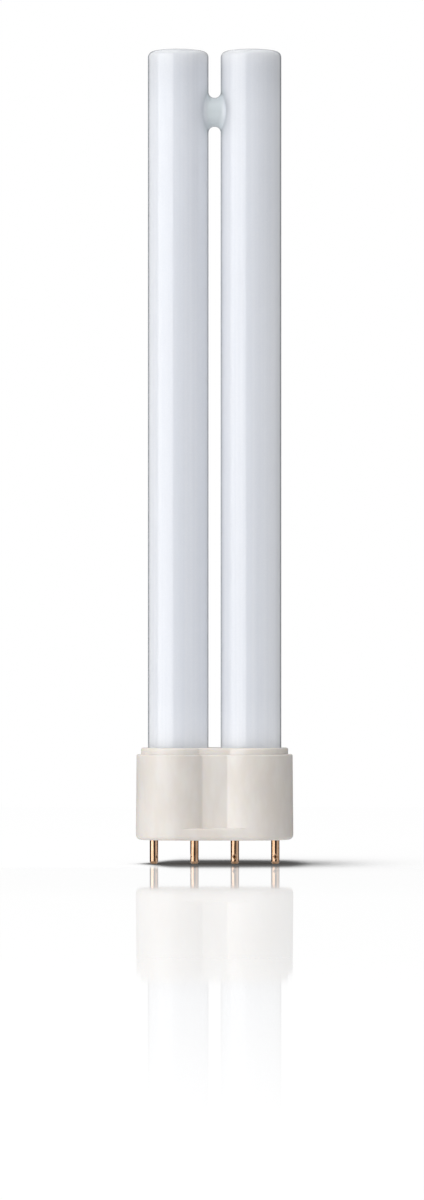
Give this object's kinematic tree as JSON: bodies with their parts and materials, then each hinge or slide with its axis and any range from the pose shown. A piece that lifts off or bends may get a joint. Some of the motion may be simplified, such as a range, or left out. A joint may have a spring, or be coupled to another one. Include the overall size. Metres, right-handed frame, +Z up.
{
  "type": "ultraviolet lamp",
  "caption": "Compact ultraviolet lamp: parallel white glass tubes joined by a neck near the top, in a waisted moulded plug-in cap with a row of brass contact pins.",
  "frame": {"origin": "middle of the pin row, on the cap's flat seating face", "axes": "+Z up the tubes, away from the pins; X along the pin row; -Y towards the viewer of the picture"},
  "size_m": [0.0428, 0.023, 0.2214],
  "materials": {
    "coated_glass": "smooth glass over an opaque white coating",
    "cap_plastic": "satin moulded cream plastic",
    "holder_plastic": "satin moulded cream plastic",
    "cement": "dull set cement",
    "pin_brass": "bright drawn brass",
    "lead_wire": "drawn nickel-plated wire"
  },
  "bodies": {
    "root": {"discharge_tube": "coated_glass", "cap_shell": "cap_plastic", "tube_holder": "holder_plastic", "cement_left": "cement", "cement_right": "cement", "contact_pin_1": "pin_brass", "contact_pin_2": "pin_brass", "contact_pin_3": "pin_brass", "contact_pin_4": "pin_brass", "lead_wire_1": "lead_wire", "lead_wire_2": "lead_wire", "lead_wire_3": "lead_wire", "lead_wire_4": "lead_wire"}
  },
  "joints": []
}
